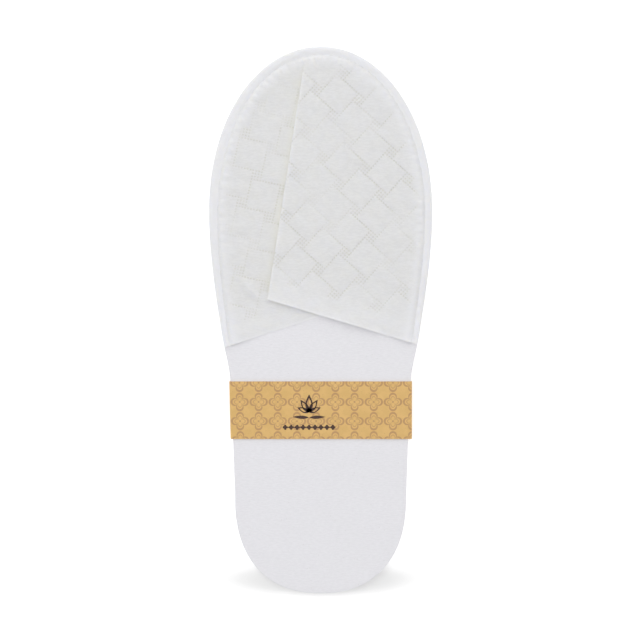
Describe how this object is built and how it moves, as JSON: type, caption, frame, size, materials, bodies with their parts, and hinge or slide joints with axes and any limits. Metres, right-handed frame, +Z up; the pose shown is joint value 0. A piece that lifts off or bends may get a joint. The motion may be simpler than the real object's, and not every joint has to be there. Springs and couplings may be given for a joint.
{
  "type": "spa slippers",
  "caption": "Pair of flat-packed closed-toe spa slippers with pleated non-woven vamps that open, laid sole to sole in a sliding paper belly band.",
  "frame": {"origin": "middle of the footprint, on the surface that the pair lies on", "axes": "+Z up, +Y toward the toes, +X to the right of the upper slipper"},
  "size_m": [0.1166, 0.285, 0.0139],
  "materials": {
    "felt": "matt needled felt",
    "foam": "matt closed-cell foam",
    "outsole": "matt non-slip sheet with small studs",
    "vamp_cloth": "embossed non-woven cloth, slight satin",
    "thread": "twisted thread",
    "kraft_paper": "uncoated kraft with a printed repeat",
    "glue": "dried clear glue"
  },
  "bodies": {
    "upper_slipper": {"upper_felt_insole": "felt", "upper_foam_sole": "foam", "upper_outsole": "outsole", "upper_vamp_right_side": "vamp_cloth", "upper_vamp_left_side": "vamp_cloth", "upper_needle_thread": "thread", "upper_bobbin_thread": "thread"},
    "upper_right_flap": {"upper_vamp_right_flap": "vamp_cloth"},
    "upper_pleat": {"upper_vamp_pleat": "vamp_cloth"},
    "upper_left_flap": {"upper_vamp_left_flap": "vamp_cloth"},
    "lower_slipper": {"lower_felt_insole": "felt", "lower_foam_sole": "foam", "lower_outsole": "outsole", "lower_vamp_right_side": "vamp_cloth", "lower_vamp_left_side": "vamp_cloth", "lower_needle_thread": "thread", "lower_bobbin_thread": "thread"},
    "lower_right_flap": {"lower_vamp_right_flap": "vamp_cloth"},
    "lower_pleat": {"lower_vamp_pleat": "vamp_cloth"},
    "lower_left_flap": {"lower_vamp_left_flap": "vamp_cloth"},
    "band": {"paper_band": "kraft_paper", "glue_strip": "glue"}
  },
  "joints": [
    {"name": "band_slide", "type": "slide", "parent": "upper_slipper", "child": "band", "axis": [0, -1, 0], "range_m": [0, 0.115]},
    {"name": "pair_slide", "type": "slide", "parent": "upper_slipper", "child": "lower_slipper", "axis": [0, 1, 0], "range_m": [0, 0.13]},
    {"name": "upper_vamp_open", "type": "hinge", "parent": "upper_slipper", "child": "upper_right_flap", "pos_m": [-0.008, 0.13805, 0.0137], "axis": [-0.3448, 0.9387, 0], "range_deg": [0, 80]},
    {"name": "upper_left_open", "type": "hinge", "parent": "upper_slipper", "child": "upper_left_flap", "pos_m": [-0.008, 0.13805, 0.0126], "axis": [-0.2477, -0.9688, 0], "range_deg": [0, 80.9], "deforming": ["upper_vamp_left_flap"]},
    {"name": "upper_pleat_unfold", "type": "hinge", "parent": "upper_right_flap", "child": "upper_pleat", "pos_m": [-0.008, 0.13805, 0.01342], "axis": [0.1529, 0.9882, 0], "range_deg": [0, 102.8], "deforming": ["upper_vamp_pleat"]},
    {"name": "lower_vamp_open", "type": "hinge", "parent": "lower_slipper", "child": "lower_right_flap", "pos_m": [0.008, 0.13805, 0.0002], "axis": [0.3448, 0.9387, 0], "range_deg": [0, 80]},
    {"name": "lower_left_open", "type": "hinge", "parent": "lower_slipper", "child": "lower_left_flap", "pos_m": [0.008, 0.13805, 0.0013], "axis": [0.2477, -0.9688, 0], "range_deg": [0, 80.9], "deforming": ["lower_vamp_left_flap"]},
    {"name": "lower_pleat_unfold", "type": "hinge", "parent": "lower_right_flap", "child": "lower_pleat", "pos_m": [0.008, 0.13805, 0.00047], "axis": [-0.1529, 0.9882, 0], "range_deg": [0, 102.8], "deforming": ["lower_vamp_pleat"]}
  ],
  "couplings": [
    {"joint": "upper_left_open", "follows": "upper_vamp_open", "ratio": 1.011},
    {"joint": "upper_pleat_unfold", "follows": "upper_vamp_open", "ratio": 1.285},
    {"joint": "lower_left_open", "follows": "lower_vamp_open", "ratio": 1.011},
    {"joint": "lower_pleat_unfold", "follows": "lower_vamp_open", "ratio": 1.285}
  ]
}
